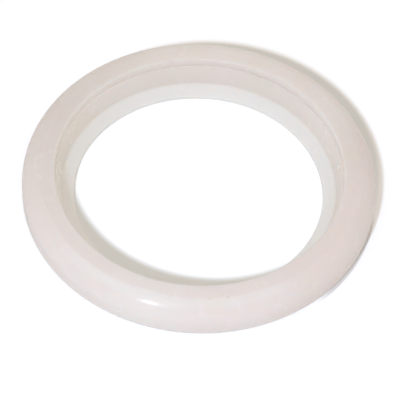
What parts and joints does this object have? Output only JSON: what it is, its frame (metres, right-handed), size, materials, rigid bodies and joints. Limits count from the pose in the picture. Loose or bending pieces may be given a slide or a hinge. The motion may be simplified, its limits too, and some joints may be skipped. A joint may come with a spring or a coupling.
{
  "type": "group head gasket",
  "caption": "Silicone sealing ring for an espresso group head, with a flat sealing face, a flat top with a rounded shoulder outside it, and a thin lip round the bore.",
  "frame": {"origin": "centre of the ring, on its flat sealing face", "axes": "+Z along the ring's axis, from the flat sealing face towards the side with the wide mouth; X and Y lie in the sealing face, and any turn about Z is the same"},
  "size_m": [0.073, 0.073, 0.0082],
  "materials": {
    "gasket_ring": "milky, slightly translucent silicone with a satin moulded surface"
  },
  "bodies": {
    "root": {"gasket_ring": "gasket_ring"}
  },
  "joints": []
}
